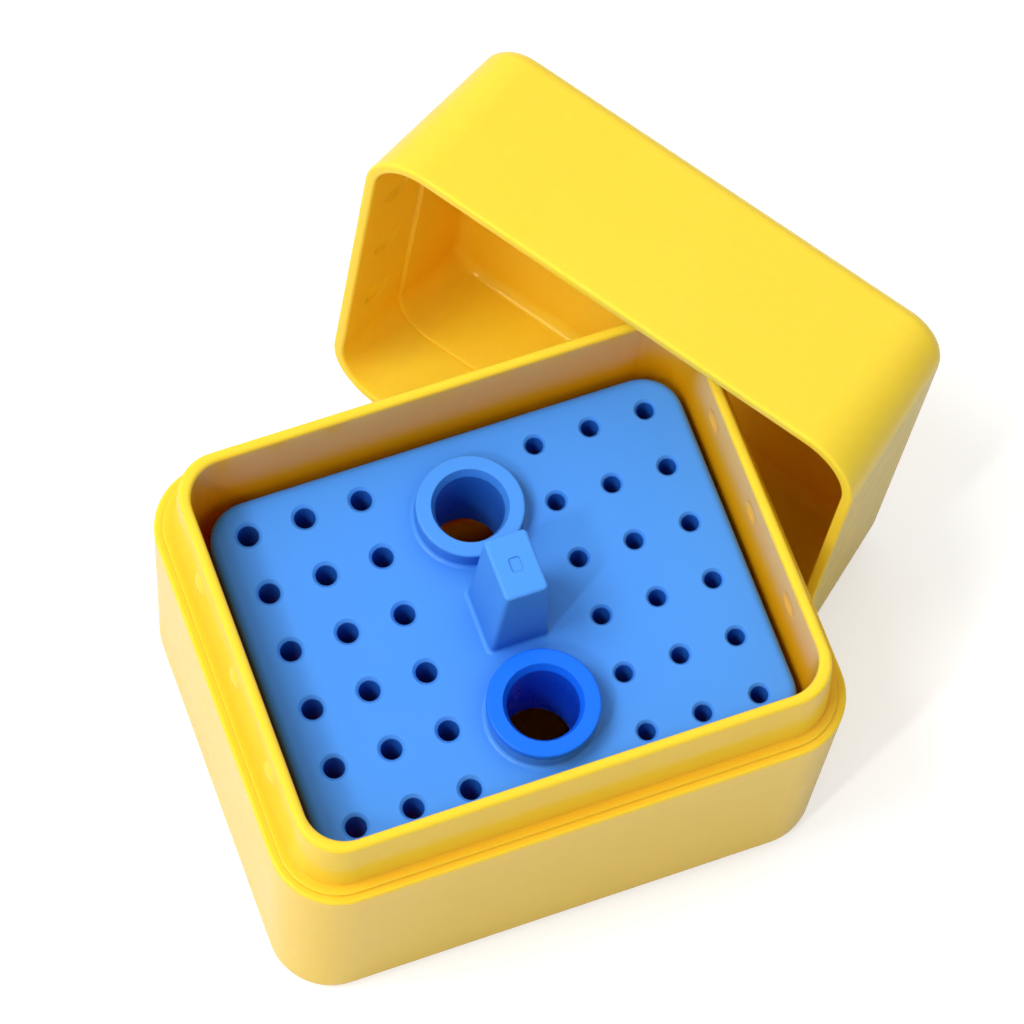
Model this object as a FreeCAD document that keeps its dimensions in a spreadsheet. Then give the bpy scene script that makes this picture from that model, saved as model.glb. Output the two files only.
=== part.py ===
import FreeCAD, Part
import os
import math
import Sketcher

DOC = FreeCAD.newDocument("file_box")
V = FreeCAD.Vector

# Driving sizes, millimetres and degrees. Everything below reads them by name.
SIZES = {
    # file holes
    "column_pitch": 6.3,
    "row_pitch": 6.8,
    "columns_a_side": 3,
    "rows": 6,
    "middle_gap": 19.5,
    "large_bore": 2.3,
    "large_sink": 3.0,
    "small_bore": 1.9,
    "small_sink": 2.45,
    "sink_depth": 0.35,
    "large_sleeve": 4.2,
    "small_sleeve": 3.6,
    "sleeve_reach": 8.0,
    # rack plate
    "plate_x": 53.0,
    "plate_y": 42.0,
    "plate_corner": 4.5,
    "plate_thick": 2.0,
    "plate_round": 1.0,
    "skirt_reach": 4.6,
    "skirt_wall": 1.5,
    "rack_shift": 0.4,
    "rack_shift_y": -0.3,
    # wells
    "well_place": 11.7,
    "rear_shift": 0.45,
    "boss_dia": 11.6,
    "boss_tall": 2.6,
    "boss_foot": 0.5,
    "boss_round": 0.25,
    "well_bore": 7.44,
    "well_mouth": 8.3,
    "well_mouth_depth": 1.1,
    "well_wall": 1.3,
    "front_wall": 0.9,
    "well_reach": 10.4,
    # bush
    "bush_bore": 7.66,
    "bush_mouth": 8.56,
    "bush_mouth_depth": 1.0,
    "bush_wall": 0.95,
    "bush_clearance": 0.12,
    "bush_reach": 11.6,
    "flange_dia": 12.0,
    "flange_thick": 1.0,
    "flange_round": 0.25,
    # lifting tab
    "tab_shift": 0.55,
    "tab_foot_x": 6.6,
    "tab_foot_y": 7.3,
    "tab_top_x": 4.7,
    "tab_top_y": 7.0,
    "tab_tall": 14.0,
    "tab_round": 0.55,
    "tab_top_round": 0.35,
    "tab_foot": 0.5,
    "tab_mark_x": 1.2,
    "tab_mark_y": 1.6,
    "tab_mark_depth": 0.1,
    # neck of the base
    "neck_x": 59.3,
    "neck_y": 47.0,
    "neck_corner": 5.4,
    "neck_tall": 9.0,
    "neck_draft": 4.2,
    "neck_wall": 1.15,
    "rim_round": 0.5,
    # shoulder and side walls
    "seat_width": 1.0,
    "band_width": 0.55,
    "band_drop": 0.3,
    "shoulder_round": 0.35,
    "step_round": 0.15,
    "shoulder_level": 32.3,
    "body_draft": 0.8,
    "foot_round": 2.0,
    # cavity of the base
    "floor_thick": 1.8,
    "cavity_draft": 0.7,
    "cavity_round": 1.5,
    "rack_drop": 10.5,
    "rib_width": 2.4,
    "rib_bearing": 1.0,
    "rib_bite": 0.6,
    "overlap": 0.2,
    "over_cut": 0.5,
    # snap nubs and dimples
    "nub_pitch": 10.9,
    "nub_dia": 2.8,
    "nub_tall": 0.4,
    "nub_level": 4.6,
    "nub_hollow": 0.25,
    "dimple_dia": 3.9,
    "dimple_depth": 0.5,
    # lid
    "lid_clearance": 0.3,
    "lid_wall": 1.3,
    "lid_depth": 21.5,
    "lid_draft": 5.0,
    "lid_top": 1.6,
    "lid_crown": 2.2,
    "lid_lip": 0.3,
    "stop_level": 9.6,
    "stop_width": 0.5,
    "lid_inner_round": 1.6,
    # how the lid stands behind the base
    "lid_turn": -55.67,
    "lid_along": -38.2,
    "lid_away": 23.0,
    "stand_gap": 0.06,
}

sheet = DOC.addObject("Spreadsheet::Sheet", "sizes")
for row, (alias, value) in enumerate(SIZES.items(), start=1):
    sheet.set("A%d" % row, alias)
    sheet.set("B%d" % row, repr(value))
    sheet.setAlias("B%d" % row, alias)

# Sizes that follow from the driving ones, kept in the same sheet.
FOLLOWING = {
    "half_gap": "middle_gap / 2",
    "rim_level": "shoulder_level + neck_tall",
    "rack_level": "rim_level - rack_drop",
    "seat_x": "neck_x + 2 * seat_width",
    "seat_y": "neck_y + 2 * seat_width",
    "seat_corner": "neck_corner + seat_width",
    "body_x": "seat_x + 2 * band_width + 2 * shoulder_round",
    "body_y": "seat_y + 2 * band_width + 2 * shoulder_round",
    "body_corner": "seat_corner + band_width + shoulder_round",
    "band_level": "shoulder_level - band_drop",
    "neck_lean": "neck_tall * tan(neck_draft * 1 deg)",
    "mouth_x": "neck_x - 2 * neck_lean - 2 * neck_wall",
    "mouth_y": "neck_y - 2 * neck_lean - 2 * neck_wall",
    "mouth_corner": "neck_corner - neck_wall",
    "rib_level": "rack_level - skirt_reach",
    "rib_place_x": "half_gap + column_pitch / 2",
    "rib_reach": "(mouth_y - plate_y) / 2 - rack_shift_y + rib_bearing",
    "bush_barrel": "bush_bore + 2 * bush_wall",
    "front_bore": "bush_barrel + 2 * bush_clearance",
    "front_tube": "front_bore + 2 * front_wall",
    "rear_tube": "well_bore + 2 * well_wall",
    "lid_in_x": "neck_x + 2 * lid_clearance",
    "lid_in_y": "neck_y + 2 * lid_clearance",
    "lid_in_corner": "neck_corner + lid_clearance",
    "lid_x": "lid_in_x + 2 * lid_wall",
    "lid_y": "lid_in_y + 2 * lid_wall",
    "lid_corner": "lid_in_corner + lid_wall",
}
for row, (alias, formula) in enumerate(FOLLOWING.items(), start=len(SIZES) + 1):
    sheet.set("A%d" % row, alias)
    sheet.set("B%d" % row, "=" + formula)
    sheet.setAlias("B%d" % row, alias)
DOC.recompute()


def size(alias):
    found = sheet.get(alias)
    return float(getattr(found, "Value", found))


def plane_of(body, name):
    for item in body.Origin.OriginFeatures:
        if item.Role == name:
            return item
    raise RuntimeError("no origin item " + name)


def new_body(name):
    return DOC.addObject("PartDesign::Body", name)


def sketch_on(body, name, plane="XY_Plane", level=None, shift_x=None, shift_y=None):
    sketch = body.newObject("Sketcher::SketchObject", name)
    sketch.AttachmentSupport = (plane_of(body, plane), [""])
    sketch.MapMode = "FlatFace"
    if level:
        sketch.setExpression("AttachmentOffset.Base.z", level)
    if shift_x:
        sketch.setExpression("AttachmentOffset.Base.x", shift_x)
    if shift_y:
        sketch.setExpression("AttachmentOffset.Base.y", shift_y)
    return sketch


def round_rect(sketch, x_size, y_size, corner=None):
    """A centred rectangle, with its corners rounded when a radius is named."""
    x0, y0 = 10.0, 7.0
    r0 = 2.0 if corner else 0.0
    lines = [
        (V(-x0 + r0, -y0, 0), V(x0 - r0, -y0, 0)),
        (V(x0, -y0 + r0, 0), V(x0, y0 - r0, 0)),
        (V(x0 - r0, y0, 0), V(-x0 + r0, y0, 0)),
        (V(-x0, y0 - r0, 0), V(-x0, -y0 + r0, 0)),
    ]
    for start, end in lines:
        sketch.addGeometry(Part.LineSegment(start, end), False)
    rules = [
        Sketcher.Constraint("Horizontal", 0),
        Sketcher.Constraint("Vertical", 1),
        Sketcher.Constraint("Horizontal", 2),
        Sketcher.Constraint("Vertical", 3),
    ]
    if corner:
        centres = [(x0 - r0, -y0 + r0), (x0 - r0, y0 - r0), (-x0 + r0, y0 - r0), (-x0 + r0, -y0 + r0)]
        for index, (cx, cy) in enumerate(centres):
            circle = Part.Circle(V(cx, cy, 0), V(0, 0, 1), r0)
            first = math.radians(-90 + 90 * index)
            sketch.addGeometry(Part.ArcOfCircle(circle, first, first + math.pi / 2), False)
        for index in range(4):
            arc = 4 + index
            rules.append(Sketcher.Constraint("Tangent", index, 2, arc, 1))
            rules.append(Sketcher.Constraint("Tangent", arc, 2, (index + 1) % 4, 1))
        for arc in (5, 6, 7):
            rules.append(Sketcher.Constraint("Equal", 4, arc))
    else:
        for index in range(4):
            rules.append(Sketcher.Constraint("Coincident", index, 2, (index + 1) % 4, 1))
    sketch.addConstraint(rules)
    if corner:
        number = sketch.addConstraint(Sketcher.Constraint("Radius", 4, r0))
        sketch.setExpression("Constraints[%d]" % number, corner)
    # the two long lines and the two short ones stand at equal distances from the origin
    distances = [
        ("DistanceY", 0, 1, -1, 1, y_size),
        ("DistanceX", -1, 1, 1, 1, x_size),
        ("DistanceY", -1, 1, 2, 1, y_size),
        ("DistanceX", 3, 1, -1, 1, x_size),
    ]
    for kind, g1, p1, g2, p2, expression in distances:
        start = y0 if kind == "DistanceY" else x0
        number = sketch.addConstraint(Sketcher.Constraint(kind, g1, p1, g2, p2, start))
        sketch.setExpression("Constraints[%d]" % number, "(%s) / 2" % expression)
    return sketch


def value_of(sketch, expression):
    found = sketch.evalExpression(expression)
    return float(getattr(found, "Value", found))


def hold_point(sketch, geometry, point, x, y):
    """Ties a point of the sketch to a pair of expressions, from the sketch's origin."""
    for kind, expression in (("DistanceX", x), ("DistanceY", y)):
        now = value_of(sketch, expression)
        if abs(now) < 1e-9:
            sketch.addConstraint(Sketcher.Constraint(
                "PointOnObject", geometry, point, -2 if kind == "DistanceX" else -1))
            continue
        if now > 0:
            rule = sketch.addConstraint(Sketcher.Constraint(kind, -1, 1, geometry, point, now))
            sketch.setExpression("Constraints[%d]" % rule, expression)
        else:
            rule = sketch.addConstraint(Sketcher.Constraint(kind, geometry, point, -1, 1, -now))
            sketch.setExpression("Constraints[%d]" % rule, "-(%s)" % expression)


def polygon_in(sketch, points):
    """A closed outline through points that are pairs of expressions."""
    count = len(points)
    start = [V(value_of(sketch, x), value_of(sketch, y), 0) for x, y in points]
    for index in range(count):
        sketch.addGeometry(Part.LineSegment(start[index], start[(index + 1) % count]), False)
    for index in range(count):
        sketch.addConstraint(Sketcher.Constraint("Coincident", index, 2, (index + 1) % count, 1))
    for index, (x, y) in enumerate(points):
        hold_point(sketch, index, 1, x, y)
    return sketch


def circle_in(sketch, diameter, x="0", y="0"):
    radius = value_of(sketch, diameter) / 2
    centre = V(value_of(sketch, x), value_of(sketch, y), 0)
    number = sketch.addGeometry(Part.Circle(centre, V(0, 0, 1), radius), False)
    hold_point(sketch, number, 3, x, y)
    rule = sketch.addConstraint(Sketcher.Constraint("Diameter", number, 2 * radius))
    sketch.setExpression("Constraints[%d]" % rule, diameter)
    return sketch


def pad(body, name, sketch, length, reverse=False, draft=None):
    item = body.newObject("PartDesign::Pad", name)
    item.Profile = sketch
    item.setExpression("Length", length)
    item.Reversed = reverse
    if draft:
        item.setExpression("TaperAngle", draft)
    sketch.Visibility = False
    return item


def pocket(body, name, sketch, length, reverse=False, draft=None):
    item = body.newObject("PartDesign::Pocket", name)
    item.Profile = sketch
    item.setExpression("Length", length)
    item.Reversed = reverse
    if draft:
        item.setExpression("TaperAngle", draft)
    sketch.Visibility = False
    return item


def edges_where(shape, wanted):
    names = []
    for number, edge in enumerate(shape.Edges, start=1):
        if wanted(edge):
            names.append("Edge%d" % number)
    return names


def fillet(body, name, radius, wanted):
    DOC.recompute()
    before = body.Tip
    names = edges_where(before.Shape, wanted)
    if not names:
        raise RuntimeError("no edge for " + name)
    item = body.newObject("PartDesign::Fillet", name)
    item.Base = (before, names)
    item.setExpression("Radius", radius)
    DOC.recompute()
    return item


def flat_at(edge, level, slack=0.01):
    box = edge.BoundBox
    return abs(box.ZMin - level) < slack and abs(box.ZMax - level) < slack


def reach_of(edge):
    box = edge.BoundBox
    return max(abs(box.XMin), abs(box.XMax)), max(abs(box.YMin), abs(box.YMax))


def bore_sketch(body, name, plane_shift, x, bore, mouth, mouth_depth, top, bottom):
    """Half section of a drilled and countersunk hole, turned about a line at x."""
    sketch = sketch_on(body, name, plane="XZ_Plane", level=plane_shift)
    widen = "(%s - %s) / 2 / (%s)" % (mouth, bore, mouth_depth)
    points = [
        (x, bottom),
        ("%s + %s / 2" % (x, bore), bottom),
        ("%s + %s / 2" % (x, bore), "%s - %s" % (top, mouth_depth)),
        ("%s + %s / 2 + %s * sizes.over_cut" % (x, mouth, widen), top + " + sizes.over_cut"),
        (x, top + " + sizes.over_cut"),
    ]
    polygon_in(sketch, points)
    return sketch


def groove(body, name, sketch, axis_line):
    item = body.newObject("PartDesign::Groove", name)
    item.Profile = sketch
    item.ReferenceAxis = (sketch, [axis_line])
    item.Angle = 360
    sketch.Visibility = False
    return item


def finish(body, label):
    DOC.recompute()
    body.Label = label
    return body


# Lower box
base = new_body("base_body")
outer = round_rect(
    sketch_on(base, "outer_outline", level="sizes.band_level"),
    "sizes.body_x",
    "sizes.body_y",
    "sizes.body_corner",
)
pad(base, "tub", outer, "sizes.band_level", reverse=True, draft="-sizes.body_draft")
band = round_rect(
    sketch_on(base, "band_outline", level="sizes.band_level"),
    "sizes.seat_x",
    "sizes.seat_y",
    "sizes.seat_corner",
)
pad(base, "seat_band", band, "sizes.band_drop")
neck = round_rect(
    sketch_on(base, "neck_outline", level="sizes.shoulder_level"),
    "sizes.neck_x",
    "sizes.neck_y",
    "sizes.neck_corner",
)
pad(base, "neck", neck, "sizes.neck_tall", draft="-sizes.neck_draft")
DOC.recompute()


def add_caps(body, name, kind, diameter, tall, wall_at, level, outward, pitch, mirrored=True):
    """Spherical caps on the short wall, three in a row and the same on the far side.

    A cap of the named diameter rises by the named height from the wall's face at wall_at.
    """
    radius = "((%s / 2)^2 + (%s)^2) / (2 * (%s))" % (diameter, tall, tall)
    ball = body.newObject("PartDesign::%sSphere" % kind, name)
    ball.AttachmentSupport = (plane_of(body, "XY_Plane"), [""])
    ball.MapMode = "FlatFace"
    ball.setExpression("Radius", radius)
    ball.setExpression("AttachmentOffset.Base.x", "%s %s (%s) %s (%s)" % (
        wall_at, "-" if outward else "+", radius, "+" if outward else "-", tall))
    ball.setExpression("AttachmentOffset.Base.y", "-(%s)" % pitch)
    ball.setExpression("AttachmentOffset.Base.z", level)
    row = body.newObject("PartDesign::MultiTransform", name + "_rows")
    row.Originals = [ball]
    line = body.newObject("PartDesign::LinearPattern", name + "_line")
    line.Direction = (plane_of(body, "Y_Axis"), [""])
    line.setExpression("Length", "2 * %s" % pitch)
    line.Occurrences = 3
    steps = [line]
    if mirrored:
        flip = body.newObject("PartDesign::Mirrored", name + "_flip")
        flip.MirrorPlane = (plane_of(body, "YZ_Plane"), [""])
        steps.append(flip)
    row.Transformations = steps
    body.Tip = row
    DOC.recompute()
    return row


WALL_AT_NUB = "sizes.neck_x / 2 - sizes.nub_level * tan(sizes.neck_draft * 1 deg)"
NUB_LEVEL = "sizes.shoulder_level + sizes.nub_level"
add_caps(
    base, "nub", "Additive", "sizes.nub_dia", "sizes.nub_tall", WALL_AT_NUB, NUB_LEVEL, True,
    "sizes.nub_pitch",
)

cavity = round_rect(
    sketch_on(base, "cavity_outline", level="sizes.rim_level"),
    "sizes.mouth_x",
    "sizes.mouth_y",
    "sizes.mouth_corner",
)
pocket(base, "cavity", cavity, "sizes.rim_level - sizes.floor_thick", draft="-sizes.cavity_draft")
DOC.recompute()
floor_level = size("floor_thick")
fillet(base, "cavity_floor_round", "sizes.cavity_round", lambda e: flat_at(e, floor_level))

# ribs on the long inner walls that carry the skirt of the rack
for index, (side, end) in enumerate(((-1, -1), (1, -1), (1, 1), (-1, 1))):
    rib = sketch_on(base, "rib_outline_%d" % index, level="sizes.floor_thick - sizes.overlap")
    near = "%d * sizes.rib_place_x - sizes.rib_width / 2" % side
    far = "%d * sizes.rib_place_x + sizes.rib_width / 2" % side
    tip = "%d * (sizes.mouth_y / 2 - sizes.rib_reach)" % end
    root = "%d * (sizes.mouth_y / 2 + sizes.rib_bite)" % end
    polygon_in(rib, [(near, tip), (far, tip), (far, root), (near, root)])
    pad(base, "rib_%d" % index, rib, "sizes.rib_level - sizes.floor_thick + sizes.overlap")
DOC.recompute()

# shallow hollows inside the neck, behind each nub
WALL_IN_NUB = "sizes.mouth_x / 2 - (sizes.neck_tall - sizes.nub_level) * tan(sizes.cavity_draft * 1 deg)"
add_caps(
    base, "nub_hollow", "Subtractive", "sizes.nub_dia", "sizes.nub_hollow", WALL_IN_NUB, NUB_LEVEL, True,
    "sizes.nub_pitch",
)

rim = size("rim_level")
band_top = size("shoulder_level")
tub_top = size("band_level")
mouth_half = size("mouth_x") / 2
seat_half = size("seat_x") / 2
neck_half = size("neck_x") / 2
fillet(base, "rim_round", "sizes.rim_round", lambda e: flat_at(e, rim))
fillet(base, "foot_round", "sizes.foot_round", lambda e: flat_at(e, 0.0))


def on_outline(edge, level, half_x, half_y, slack=0.05):
    if not flat_at(edge, level):
        return False
    reach_x, reach_y = reach_of(edge)
    return abs(reach_x - half_x) < slack or abs(reach_y - half_y) < slack


fillet(
    base, "shoulder_round", "sizes.shoulder_round",
    lambda e: on_outline(e, tub_top, size("body_x") / 2, size("body_y") / 2),
)
fillet(
    base, "band_round", "sizes.step_round",
    lambda e: on_outline(e, band_top, size("seat_x") / 2, size("seat_y") / 2),
)
fillet(
    base, "neck_foot_round", "sizes.step_round",
    lambda e: on_outline(e, band_top, size("neck_x") / 2, size("neck_y") / 2),
)
finish(base, "base")

# Rack, drawn with the top of its plate at level zero
rack = new_body("rack_body")
plate = round_rect(
    sketch_on(rack, "plate_outline"), "sizes.plate_x", "sizes.plate_y", "sizes.plate_corner"
)
pad(rack, "plate_block", plate, "sizes.skirt_reach", reverse=True)
under = round_rect(
    sketch_on(rack, "hollow_outline", level="-sizes.skirt_reach"),
    "sizes.plate_x - 2 * sizes.skirt_wall",
    "sizes.plate_y - 2 * sizes.skirt_wall",
    "sizes.plate_corner - sizes.skirt_wall",
)
pocket(rack, "hollow", under, "sizes.skirt_reach - sizes.plate_thick", reverse=True)
WELLS = (("rear", "sizes.rear_shift", "sizes.well_place"), ("front", "0", "-sizes.well_place"))
for well, x, y in WELLS:
    boss = circle_in(sketch_on(rack, well + "_boss_outline"), "sizes.boss_dia", x=x, y=y)
    pad(rack, well + "_boss", boss, "sizes.boss_tall")
DOC.recompute()

tab_low = round_rect(
    sketch_on(rack, "tab_foot_outline", shift_x="sizes.tab_shift"), "sizes.tab_foot_x", "sizes.tab_foot_y"
)
tab_high = round_rect(
    sketch_on(rack, "tab_top_outline", level="sizes.tab_tall", shift_x="sizes.tab_shift"),
    "sizes.tab_top_x",
    "sizes.tab_top_y",
)
tab = rack.newObject("PartDesign::AdditiveLoft", "tab")
tab.Profile = tab_low
tab.Sections = [tab_high]
tab.Ruled = True
DOC.recompute()
tab_top_level = size("tab_tall")


def slanted(edge):
    box = edge.BoundBox
    return box.ZMin > -0.01 and box.ZLength > tab_top_level * 0.9


fillet(rack, "tab_corner_round", "sizes.tab_round", slanted)
fillet(rack, "tab_top_round", "sizes.tab_top_round", lambda e: flat_at(e, tab_top_level))


def at_tab_foot(edge):
    reach_x, reach_y = reach_of(edge)
    half_x = size("tab_foot_x") / 2 + abs(size("tab_shift")) + 0.1
    half_y = size("tab_foot_y") / 2 + 0.1
    return flat_at(edge, 0.0) and reach_x < half_x and reach_y < half_y


fillet(rack, "tab_foot_round", "sizes.tab_foot", at_tab_foot)


def at_boss_foot(edge):
    box = edge.BoundBox
    across = size("boss_dia")
    return flat_at(edge, 0.0) and abs(box.XLength - across) < 0.2 and box.YLength < across + 0.2


fillet(rack, "boss_foot_round", "sizes.boss_foot", at_boss_foot)
boss_level = size("boss_tall")
fillet(rack, "boss_round", "sizes.boss_round", lambda e: flat_at(e, boss_level))
fillet(
    rack, "plate_round", "sizes.plate_round",
    lambda e: on_outline(e, 0.0, size("plate_x") / 2, size("plate_y") / 2),
)

mark = round_rect(
    sketch_on(rack, "tab_mark_outline", level="sizes.tab_tall", shift_x="sizes.tab_shift"),
    "sizes.tab_mark_x",
    "sizes.tab_mark_y",
    "sizes.tab_mark_x / 4",
)
pocket(rack, "tab_mark", mark, "sizes.tab_mark_depth")

# tubes under the two wells, then sleeves under the file holes
for well, x, y in WELLS:
    outline = sketch_on(rack, well + "_tube_outline", level="-sizes.plate_thick + sizes.overlap")
    tube = circle_in(outline, "sizes.%s_tube" % well, x=x, y=y)
    pad(rack, well + "_tube", tube, "sizes.well_reach - sizes.plate_thick + sizes.overlap", reverse=True)
DOC.recompute()

FIRST_ROW = "-(sizes.rows - 1) / 2 * sizes.row_pitch"
FIELDS = (
    ("large", "-sizes.half_gap - (sizes.columns_a_side - 1) * sizes.column_pitch"),
    ("small", "sizes.half_gap"),
)


def hole_field(which, first_x):
    sleeve = circle_in(
        sketch_on(
            rack, which + "_sleeve_outline", level="-sizes.plate_thick + sizes.overlap",
            shift_x=first_x, shift_y=FIRST_ROW,
        ),
        "sizes.%s_sleeve" % which,
    )
    tall = "sizes.sleeve_reach - sizes.plate_thick + sizes.overlap"
    sleeve_pad = pad(rack, which + "_sleeve", sleeve, tall, reverse=True)
    field(which + "_sleeves", sleeve_pad)


def field(name, original):
    grid = rack.newObject("PartDesign::MultiTransform", name)
    grid.Originals = [original]
    across = rack.newObject("PartDesign::LinearPattern", name + "_across")
    across.Direction = (plane_of(rack, "X_Axis"), [""])
    across.setExpression("Length", "(sizes.columns_a_side - 1) * sizes.column_pitch")
    across.setExpression("Occurrences", "sizes.columns_a_side")
    along = rack.newObject("PartDesign::LinearPattern", name + "_along")
    along.Direction = (plane_of(rack, "Y_Axis"), [""])
    along.setExpression("Length", "(sizes.rows - 1) * sizes.row_pitch")
    along.setExpression("Occurrences", "sizes.rows")
    grid.Transformations = [across, along]
    rack.Tip = grid
    DOC.recompute()


for which, first_x in FIELDS:
    hole_field(which, first_x)
for which, first_x in FIELDS:
    profile = bore_sketch(
        rack, which + "_hole_profile", "-(%s)" % FIRST_ROW, "(%s)" % first_x, "sizes.%s_bore" % which,
        "sizes.%s_sink" % which, "sizes.sink_depth", "0", "-sizes.sleeve_reach - sizes.over_cut",
    )
    field(which + "_holes", groove(rack, which + "_hole", profile, "Edge5"))

# well bores: the rear one is bare, the front one takes the bush
rear_profile = bore_sketch(
    rack, "rear_bore_profile", "-sizes.well_place", "sizes.rear_shift", "sizes.well_bore",
    "sizes.well_mouth", "sizes.well_mouth_depth", "sizes.boss_tall",
    "-sizes.well_reach - sizes.over_cut",
)
groove(rack, "rear_bore", rear_profile, "Edge5")
front = circle_in(
    sketch_on(rack, "front_bore_outline", level="sizes.boss_tall"), "sizes.front_bore", y="-sizes.well_place"
)
pocket(rack, "front_bore", front, "sizes.boss_tall + sizes.well_reach + sizes.over_cut")
rack.setExpression("Placement.Base.x", "sizes.rack_shift")
rack.setExpression("Placement.Base.y", "sizes.rack_shift_y")
rack.setExpression("Placement.Base.z", "sizes.rack_level")
finish(rack, "file_rack")

# Bush, turned about its own axis with the flange's seat at level zero
bush = new_body("bush_body")
profile = sketch_on(bush, "bush_profile", plane="XZ_Plane")
polygon_in(profile, [
    ("sizes.bush_bore / 2", "-sizes.bush_reach"),
    ("sizes.bush_barrel / 2", "-sizes.bush_reach"),
    ("sizes.bush_barrel / 2", "0"),
    ("sizes.flange_dia / 2", "0"),
    ("sizes.flange_dia / 2", "sizes.flange_thick"),
    ("sizes.bush_mouth / 2", "sizes.flange_thick"),
    ("sizes.bush_bore / 2", "sizes.flange_thick - sizes.bush_mouth_depth"),
])
turned = bush.newObject("PartDesign::Revolution", "turned")
turned.Profile = profile
turned.ReferenceAxis = (plane_of(bush, "Z_Axis"), [""])
turned.Angle = 360
profile.Visibility = False
DOC.recompute()
flange_top = size("flange_thick")
fillet(
    bush, "flange_round", "sizes.flange_round",
    lambda e: flat_at(e, flange_top) and abs(e.BoundBox.XLength - size("flange_dia")) < 0.05,
)
bush.setExpression("Placement.Base.x", "sizes.rack_shift")
bush.setExpression("Placement.Base.y", "sizes.rack_shift_y - sizes.well_place")
bush.setExpression("Placement.Base.z", "sizes.rack_level + sizes.boss_tall")
finish(bush, "well_bush")

# Lid, drawn with its mouth at level zero and the closed end above
lid = new_body("lid_body")
shell = round_rect(
    sketch_on(lid, "lid_outline"), "sizes.lid_x", "sizes.lid_y", "sizes.lid_corner"
)
pad(lid, "lid_block", shell, "sizes.lid_depth", draft="-sizes.lid_draft")
DOC.recompute()
lid_top_level = size("lid_depth")
fillet(lid, "lid_crown", "sizes.lid_crown", lambda e: flat_at(e, lid_top_level))
room = round_rect(
    sketch_on(lid, "neck_room_outline"), "sizes.lid_in_x", "sizes.lid_in_y", "sizes.lid_in_corner"
)
pocket(lid, "neck_room", room, "sizes.stop_level", reverse=True, draft="-sizes.neck_draft")
NARROW = "(sizes.stop_width + sizes.stop_level * tan(sizes.neck_draft * 1 deg))"
chamber = round_rect(
    sketch_on(lid, "chamber_outline", level="sizes.stop_level"),
    "sizes.lid_in_x - 2 * " + NARROW,
    "sizes.lid_in_y - 2 * " + NARROW,
    "sizes.lid_in_corner - " + NARROW,
)
pocket(lid, "chamber", chamber, "sizes.lid_depth - sizes.lid_top - sizes.stop_level", reverse=True,
       draft="-sizes.lid_draft")
DOC.recompute()
ceiling = size("lid_depth") - size("lid_top")
fillet(lid, "chamber_round", "sizes.lid_inner_round", lambda e: flat_at(e, ceiling))
stop = size("stop_level")
narrow = size("stop_width") + stop * math.tan(math.radians(size("neck_draft")))
chamber_half_x = size("lid_in_x") / 2 - narrow
chamber_half_y = size("lid_in_y") / 2 - narrow
fillet(
    lid, "stop_round", "sizes.step_round",
    lambda e: on_outline(e, stop, chamber_half_x, chamber_half_y),
)
WALL_AT_DIMPLE = "sizes.lid_in_x / 2 - sizes.nub_level * tan(sizes.neck_draft * 1 deg)"
add_caps(
    lid, "dimple", "Subtractive", "sizes.dimple_dia", "sizes.dimple_depth", WALL_AT_DIMPLE,
    "sizes.nub_level", True, "sizes.nub_pitch",
)
fillet(lid, "lip_round", "sizes.lid_lip", lambda e: flat_at(e, 0.0))
finish(lid, "lid")

# The lid stands on one long side behind the base, and the base's back corner rests on the stop
# ledge of the lid's lower wall.
turn = math.radians(size("lid_turn"))
along = V(math.cos(turn), math.sin(turn), 0)
away = V(-math.sin(turn), math.cos(turn), 0)
foot_half_x = size("body_x") / 2 - size("band_level") * math.tan(math.radians(size("body_draft")))
foot_half_y = size("body_y") / 2 - size("band_level") * math.tan(math.radians(size("body_draft")))
pivot = V(-foot_half_x + size("foot_round"), -foot_half_y + size("foot_round"), 0)
run = size("lid_away") - pivot.dot(away)
ledge_wall = size("lid_wall") + size("stop_width") - stop * (
    math.tan(math.radians(size("lid_draft"))) - math.tan(math.radians(size("neck_draft"))))
tilt = math.atan((ledge_wall + size("stand_gap")) / (run + stop))
lift = run * math.tan(tilt)
lean = tilt + math.radians(size("lid_draft"))
upward = V(0, 0, 1) * math.cos(lean) + away * math.sin(lean)
inward = away * math.cos(lean) - V(0, 0, 1) * math.sin(lean)
low_corner = along * size("lid_along") + away * size("lid_away") - V(0, 0, 1) * lift
centre = low_corner + along * (size("lid_x") / 2) + upward * (size("lid_y") / 2)
pose = FreeCAD.Matrix()
pose.A11, pose.A21, pose.A31 = along.x, along.y, along.z
pose.A12, pose.A22, pose.A32 = -upward.x, -upward.y, -upward.z
pose.A13, pose.A23, pose.A33 = inward.x, inward.y, inward.z
pose.A14, pose.A24, pose.A34 = centre.x, centre.y, centre.z
lid.Placement = FreeCAD.Placement(pose)
DOC.recompute()

for item in DOC.Objects:
    if "Invalid" in item.State or "Error" in item.State:
        raise RuntimeError("%s did not build: %s" % (item.Name, item.State))

os.makedirs("parts", exist_ok=True)
for body in (base, rack, bush, lid):
    shape = body.Shape
    if shape.isNull() or not shape.isValid() or len(shape.Solids) != 1:
        raise RuntimeError("%s is not one valid solid" % body.Label)
    shape.exportStep("parts/%s.step" % body.Label)
    box = shape.BoundBox
    print("%-10s volume %9.1f  x %7.2f %7.2f  y %7.2f %7.2f  z %7.2f %7.2f" % (
        body.Label, shape.Volume, box.XMin, box.XMax, box.YMin, box.YMax, box.ZMin, box.ZMax))
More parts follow.
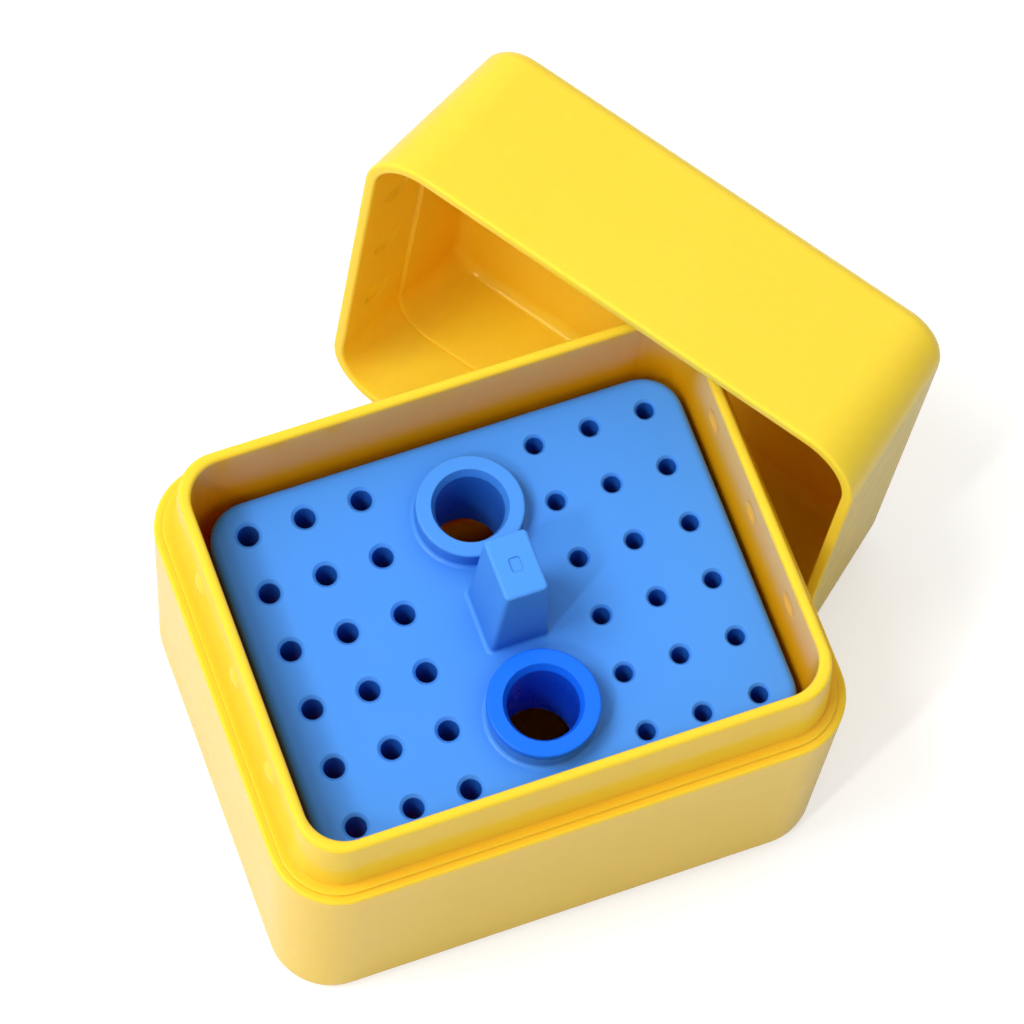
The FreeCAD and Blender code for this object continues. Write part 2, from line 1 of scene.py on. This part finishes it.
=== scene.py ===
import bpy
import math
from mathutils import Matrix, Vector

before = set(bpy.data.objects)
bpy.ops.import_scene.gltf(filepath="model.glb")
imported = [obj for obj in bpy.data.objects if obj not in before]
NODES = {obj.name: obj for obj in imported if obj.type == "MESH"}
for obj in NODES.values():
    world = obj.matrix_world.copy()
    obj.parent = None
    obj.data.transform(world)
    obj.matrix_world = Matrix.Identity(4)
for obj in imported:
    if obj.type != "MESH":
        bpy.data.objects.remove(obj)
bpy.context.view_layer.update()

# The table lies under the tilted base: the box's back corner stands on the lid's lower wall.
TILT = math.radians(1.420)
TURN = math.radians(-55.67)
PIVOT = Vector((-0.02910, -0.02295, 0.0))
AWAY = Vector((-math.sin(TURN), math.cos(TURN), 0.0))
UP = (Vector((0, 0, 1)) * math.cos(TILT) + AWAY * math.sin(TILT)).normalized()
FLOOR_SIZE = 6.0
FLOOR_GAP = 0.00005
PAPER = (0.70, 0.70, 0.70, 1)
PAPER_LIFT = 0.48

# Pattern scales are in cycles to the metre, lengths in metres.
DRIFT_SCALE = 55.0
DRIFT_SHARE = 0.06
GLOSS_SCALE = 240.0
HOLLOW_SHADE_REACH = 0.020
RELIEF_DEPTH = 0.0002
GLOW_DEPTH = 0.005

# Inner outline of the base's neck, halfway through its wall; the walls inside it get painted shade,
# darker towards the bottom
NECK_CORE = (0.0236, 0.01745, 0.0)
NECK_CORNER = 0.0048
NECK_TOP = 0.0412
NECK_LOW = 0.0300
NECK_BLUR = 0.0002

# Sky brightness is SKY_LEVEL plus the direction's dot product with SKY_SLOPE.
SKY_LEVEL = 0.53
SKY_SLOPE = (-0.20, 0.22, 0.26)
LAMP_AIM = (0.0, 0.0, 0.03)


def socket_in(group, name, kind, value):
    item = group.interface.new_socket(name, in_out="INPUT", socket_type=kind)
    item.default_value = value
    return item


def node(tree, kind, x=0, y=0, **values):
    item = tree.nodes.new(kind)
    item.location = (x, y)
    for key, value in values.items():
        setattr(item, key, value)
    return item


def moulded_skin_and_shade():
    """Colour drift, uneven gloss and fine relief of a moulded plastic, with painted shade: hollows
    found by ambient occlusion, and any given wall shade, turn towards the shade colour.
    """
    group = bpy.data.node_groups.new("moulded_skin_and_shade", "ShaderNodeTree")
    socket_in(group, "Light colour", "NodeSocketColor", (0.8, 0.8, 0.8, 1))
    socket_in(group, "Drift and painted shade colour", "NodeSocketColor", (0.6, 0.6, 0.6, 1))
    socket_in(group, "Roughness low", "NodeSocketFloat", 0.2)
    socket_in(group, "Roughness high", "NodeSocketFloat", 0.4)
    socket_in(group, "Grain", "NodeSocketFloat", 900.0)
    socket_in(group, "Relief", "NodeSocketFloat", 0.05)
    socket_in(group, "Edge", "NodeSocketFloat", 0.0002)
    socket_in(group, "Depth", "NodeSocketFloat", 0.0)
    group.interface.new_socket("Colour", in_out="OUTPUT", socket_type="NodeSocketColor")
    group.interface.new_socket("Roughness", in_out="OUTPUT", socket_type="NodeSocketFloat")
    group.interface.new_socket("Normal", in_out="OUTPUT", socket_type="NodeSocketVector")
    enter = node(group, "NodeGroupInput", -900)
    leave = node(group, "NodeGroupOutput", 700)
    place = node(group, "ShaderNodeTexCoord", -900, -300)
    link = group.links.new
    drift = node(group, "ShaderNodeTexNoise", -600, 200)
    drift.inputs["Scale"].default_value = DRIFT_SCALE
    drift.inputs["Detail"].default_value = 4.0
    link(place.outputs["Object"], drift.inputs["Vector"])
    drift_span = node(group, "ShaderNodeMapRange", -400, 200)
    drift_span.inputs["From Min"].default_value = 0.35
    drift_span.inputs["From Max"].default_value = 0.65
    link(drift.outputs["Fac"], drift_span.inputs["Value"])
    # Painted shade: hollows found by ambient occlusion take on the deep orange shade colour.
    hollow = node(group, "ShaderNodeAmbientOcclusion", -600, 500, samples=3, only_local=True)
    hollow.inputs["Distance"].default_value = HOLLOW_SHADE_REACH
    hollow_shade = node(group, "ShaderNodeMapRange", -400, 500, interpolation_type="SMOOTHSTEP")
    hollow_shade.inputs["From Min"].default_value = 0.80
    hollow_shade.inputs["From Max"].default_value = 0.15
    link(hollow.outputs["AO"], hollow_shade.inputs["Value"])
    painted_shade = node(group, "ShaderNodeMath", -320, 400, operation="MAXIMUM")
    link(hollow_shade.outputs["Result"], painted_shade.inputs[0])
    link(enter.outputs["Depth"], painted_shade.inputs[1])
    shade = node(group, "ShaderNodeMath", -250, 350, operation="MULTIPLY_ADD")
    shade.inputs[1].default_value = DRIFT_SHARE
    link(drift_span.outputs["Result"], shade.inputs[0])
    link(painted_shade.outputs["Value"], shade.inputs[2])
    colour = node(group, "ShaderNodeMix", -150, 200, data_type="RGBA", clamp_factor=True)
    link(shade.outputs["Value"], colour.inputs[0])
    link(enter.outputs["Light colour"], colour.inputs[6])
    link(enter.outputs["Drift and painted shade colour"], colour.inputs[7])
    link(colour.outputs[2], leave.inputs["Colour"])
    patch = node(group, "ShaderNodeTexNoise", -600, -50)
    patch.inputs["Scale"].default_value = GLOSS_SCALE
    patch.inputs["Detail"].default_value = 5.0
    link(place.outputs["Object"], patch.inputs["Vector"])
    gloss = node(group, "ShaderNodeMapRange", -150, -50)
    gloss.inputs["From Min"].default_value = 0.3
    gloss.inputs["From Max"].default_value = 0.7
    link(patch.outputs["Fac"], gloss.inputs["Value"])
    link(enter.outputs["Roughness low"], gloss.inputs["To Min"])
    link(enter.outputs["Roughness high"], gloss.inputs["To Max"])
    link(gloss.outputs["Result"], leave.inputs["Roughness"])
    grain = node(group, "ShaderNodeTexNoise", -600, -300)
    grain.inputs["Detail"].default_value = 3.0
    link(place.outputs["Object"], grain.inputs["Vector"])
    link(enter.outputs["Grain"], grain.inputs["Scale"])
    soft_edge = node(group, "ShaderNodeBevel", -150, -500, samples=3)
    link(enter.outputs["Edge"], soft_edge.inputs["Radius"])
    bump = node(group, "ShaderNodeBump", 100, -300)
    bump.inputs["Distance"].default_value = RELIEF_DEPTH
    link(enter.outputs["Relief"], bump.inputs["Strength"])
    link(grain.outputs["Fac"], bump.inputs["Height"])
    link(soft_edge.outputs["Normal"], bump.inputs["Normal"])
    link(bump.outputs["Normal"], leave.inputs["Normal"])
    return group


def inner_wall_shade():
    """A mask of painted shade on the walls inside a rounded outline, stronger the lower they lie.
    """
    group = bpy.data.node_groups.new("inner_wall_shade", "ShaderNodeTree")
    socket_in(group, "Core", "NodeSocketVector", NECK_CORE)
    socket_in(group, "Corner", "NodeSocketFloat", NECK_CORNER)
    socket_in(group, "Top", "NodeSocketFloat", NECK_TOP)
    socket_in(group, "Low", "NodeSocketFloat", NECK_LOW)
    group.interface.new_socket("Depth", in_out="OUTPUT", socket_type="NodeSocketFloat")
    enter = node(group, "NodeGroupInput", -900)
    leave = node(group, "NodeGroupOutput", 700)
    place = node(group, "ShaderNodeTexCoord", -900, -300)
    link = group.links.new
    flat = node(group, "ShaderNodeVectorMath", -700, 0, operation="MULTIPLY")
    flat.inputs[1].default_value = (1, 1, 0)
    link(place.outputs["Object"], flat.inputs[0])
    folded = node(group, "ShaderNodeVectorMath", -550, 0, operation="ABSOLUTE")
    link(flat.outputs["Vector"], folded.inputs[0])
    past = node(group, "ShaderNodeVectorMath", -400, 0, operation="SUBTRACT")
    link(folded.outputs["Vector"], past.inputs[0])
    link(enter.outputs["Core"], past.inputs[1])
    kept = node(group, "ShaderNodeVectorMath", -250, 0, operation="MAXIMUM")
    kept.inputs[1].default_value = (0, 0, 0)
    link(past.outputs["Vector"], kept.inputs[0])
    reach = node(group, "ShaderNodeVectorMath", -100, 0, operation="LENGTH")
    link(kept.outputs["Vector"], reach.inputs[0])
    off = node(group, "ShaderNodeMath", 50, 0, operation="SUBTRACT")
    link(reach.outputs["Value"], off.inputs[0])
    link(enter.outputs["Corner"], off.inputs[1])
    within = node(group, "ShaderNodeMapRange", 200, 0)
    within.inputs["From Min"].default_value = NECK_BLUR
    within.inputs["From Max"].default_value = -NECK_BLUR
    link(off.outputs["Value"], within.inputs["Value"])
    parts = node(group, "ShaderNodeSeparateXYZ", -550, -300)
    link(place.outputs["Object"], parts.inputs["Vector"])
    down = node(group, "ShaderNodeMapRange", -250, -300)
    link(parts.outputs["Z"], down.inputs["Value"])
    link(enter.outputs["Top"], down.inputs["From Min"])
    link(enter.outputs["Low"], down.inputs["From Max"])
    eased = node(group, "ShaderNodeMath", 50, -300, operation="POWER")
    eased.inputs[1].default_value = 0.5
    link(down.outputs["Result"], eased.inputs[0])
    both = node(group, "ShaderNodeMath", 400, 0, operation="MULTIPLY")
    link(within.outputs["Result"], both.inputs[0])
    link(eased.outputs["Value"], both.inputs[1])
    link(both.outputs["Value"], leave.inputs["Depth"])
    return group


SKIN_AND_SHADE = moulded_skin_and_shade()
INNER_SHADE = inner_wall_shade()


def plastic(name, light, drift_and_shade, rough, grain, relief, edge, tint, sheen, glow, spread, wall_shaded=False):
    """A moulded plastic of one colour, with its own gloss and grain, and painted shade towards its
    second colour in hollows.
    """
    material = bpy.data.materials.new(name)
    material.use_nodes = True
    tree = material.node_tree
    tree.nodes.clear()
    out = node(tree, "ShaderNodeOutputMaterial", 500)
    shader = node(tree, "ShaderNodeBsdfPrincipled", 200)
    skin_and_shade = node(tree, "ShaderNodeGroup", -200)
    skin_and_shade.node_tree = SKIN_AND_SHADE
    skin_and_shade.inputs["Light colour"].default_value = (*light, 1)
    skin_and_shade.inputs["Drift and painted shade colour"].default_value = (*drift_and_shade, 1)
    skin_and_shade.inputs["Roughness low"].default_value = rough[0]
    skin_and_shade.inputs["Roughness high"].default_value = rough[1]
    skin_and_shade.inputs["Grain"].default_value = grain
    skin_and_shade.inputs["Relief"].default_value = relief
    skin_and_shade.inputs["Edge"].default_value = edge
    # Painted shade on the inner walls of the base's neck, deeper orange towards the bottom.
    if wall_shaded:
        wall_shade = node(tree, "ShaderNodeGroup", -450)
        wall_shade.node_tree = INNER_SHADE
        tree.links.new(wall_shade.outputs["Depth"], skin_and_shade.inputs["Depth"])
    shader.inputs["IOR"].default_value = 1.5
    shader.inputs["Specular IOR Level"].default_value = sheen
    shader.inputs["Specular Tint"].default_value = (*tint, 1)
    shader.inputs["Subsurface Weight"].default_value = glow
    shader.inputs["Subsurface Scale"].default_value = GLOW_DEPTH
    shader.inputs["Subsurface Radius"].default_value = spread
    link = tree.links.new
    link(skin_and_shade.outputs["Colour"], shader.inputs["Base Color"])
    link(skin_and_shade.outputs["Roughness"], shader.inputs["Roughness"])
    link(skin_and_shade.outputs["Normal"], shader.inputs["Normal"])
    link(shader.outputs["BSDF"], out.inputs["Surface"])
    return material


# Each plastic's second colour is its painted shade colour for hollows; the small random colour
# drift also leans towards it.
YELLOW = plastic(
    "yellow_shell", (0.925, 0.615, 0.042), (0.960, 0.400, 0.002), (0.15, 0.22), 900, 0.012, 0.00025,
    (1.0, 0.85, 0.40), 0.25, 0.35, (1.0, 0.50, 0.02), True,
)
LID_YELLOW = plastic(
    "yellow_lid", (0.940, 0.650, 0.052), (0.960, 0.540, 0.002), (0.15, 0.22), 900, 0.012, 0.00025,
    (1.0, 0.85, 0.40), 0.25, 0.35, (1.0, 0.50, 0.02),
)
BLUE = plastic(
    "blue_rack", (0.068, 0.292, 0.860), (0.010, 0.120, 0.560), (0.28, 0.40), 2200, 0.05, 0.00022,
    (0.75, 0.88, 1.0), 0.25, 0.0, (0.1, 0.3, 1.0),
)
DEEP_BLUE = plastic(
    "blue_bush", (0.008, 0.160, 0.940), (0.001, 0.050, 0.620), (0.24, 0.34), 2200, 0.05, 0.0002,
    (0.60, 0.78, 1.0), 0.25, 0.0, (0.1, 0.3, 1.0),
)

FINISHES = (("base", YELLOW), ("lid", LID_YELLOW), ("file_rack", BLUE), ("well_bush", DEEP_BLUE))
for name, material in FINISHES:
    piece = NODES[name]
    for slot in piece.material_slots:
        slot.link = "OBJECT"
        slot.material = material

# Floor, tilted with the table
bpy.ops.object.select_all(action="DESELECT")
bpy.ops.mesh.primitive_plane_add(size=FLOOR_SIZE)
floor = bpy.context.active_object
floor.name = "floor"
floor.rotation_mode = "QUATERNION"
floor.rotation_quaternion = UP.to_track_quat("Z", "Y")
floor.location = PIVOT - UP * FLOOR_GAP
paper = bpy.data.materials.new("pale_paper")
paper.use_nodes = True
shader = paper.node_tree.nodes["Principled BSDF"]
shader.inputs["Base Color"].default_value = PAPER
shader.inputs["Roughness"].default_value = 0.9
shader.inputs["Specular IOR Level"].default_value = 0.1
shader.inputs["Emission Color"].default_value = (1, 1, 1, 1)
sight = node(paper.node_tree, "ShaderNodeLightPath", -500, -300)
lift = node(paper.node_tree, "ShaderNodeMath", -250, -300, operation="MULTIPLY")
lift.inputs[1].default_value = PAPER_LIFT
paper.node_tree.links.new(sight.outputs["Is Camera Ray"], lift.inputs[0])
paper.node_tree.links.new(lift.outputs["Value"], shader.inputs["Emission Strength"])
floor.data.materials.append(paper)

# Soft studio light
world = bpy.data.worlds.new("studio")
bpy.context.scene.world = world
world.use_nodes = True
tree = world.node_tree
tree.nodes.clear()
out = node(tree, "ShaderNodeOutputWorld", 600)
path = node(tree, "ShaderNodeLightPath", -400, 300)
seen = node(tree, "ShaderNodeBackground", 0, 200)
seen.inputs["Color"].default_value = (1, 1, 1, 1)
seen.inputs["Strength"].default_value = 1.0
dome = node(tree, "ShaderNodeBackground", 0, -100)
dome.inputs["Color"].default_value = (1, 1, 1, 1)
way = node(tree, "ShaderNodeTexCoord", -800, -100)
slope = node(tree, "ShaderNodeVectorMath", -600, -100, operation="DOT_PRODUCT")
slope.inputs[1].default_value = SKY_SLOPE
level = node(tree, "ShaderNodeMath", -400, -100, operation="ADD")
level.inputs[1].default_value = SKY_LEVEL
tree.links.new(way.outputs["Generated"], slope.inputs[0])
tree.links.new(slope.outputs["Value"], level.inputs[0])
tree.links.new(level.outputs["Value"], dome.inputs["Strength"])
mix = node(tree, "ShaderNodeMixShader", 300)
tree.links.new(path.outputs["Is Camera Ray"], mix.inputs["Fac"])
tree.links.new(dome.outputs["Background"], mix.inputs[1])
tree.links.new(seen.outputs["Background"], mix.inputs[2])
tree.links.new(mix.outputs["Shader"], out.inputs["Surface"])


def soft_box(name, place, size_x, size_y, power):
    light = bpy.data.lights.new(name, "AREA")
    light.shape = "RECTANGLE"
    light.size = size_x
    light.size_y = size_y
    light.energy = power
    holder = bpy.data.objects.new(name, light)
    bpy.context.scene.collection.objects.link(holder)
    holder.location = Vector(place)
    holder.rotation_mode = "QUATERNION"
    holder.rotation_quaternion = (Vector(LAMP_AIM) - Vector(place)).to_track_quat("-Z", "Y")


soft_box("key", (-0.50, 0.10, 1.00), 0.36, 0.36, 6.6)
soft_box("edge", (-0.55, -0.30, 0.85), 0.04, 0.12, 2.0)

# Camera at the photograph's angle
view = bpy.data.cameras.new("camera")
view.lens = 178.94
view.sensor_width = 36.0
view.clip_start = 0.05
view.clip_end = 10.0
camera = bpy.data.objects.new("camera", view)
bpy.context.scene.collection.objects.link(camera)
camera.location = (-0.09067, -0.16766, 0.52896)
camera.rotation_mode = "QUATERNION"
camera.rotation_quaternion = (
    0.967362631676058, 0.18150720178636073, -0.061072787166096085, -0.1659360997619907,
)
bpy.context.scene.camera = camera

bpy.context.scene.view_settings.view_transform = "Standard"
bpy.context.scene.view_settings.look = "None"
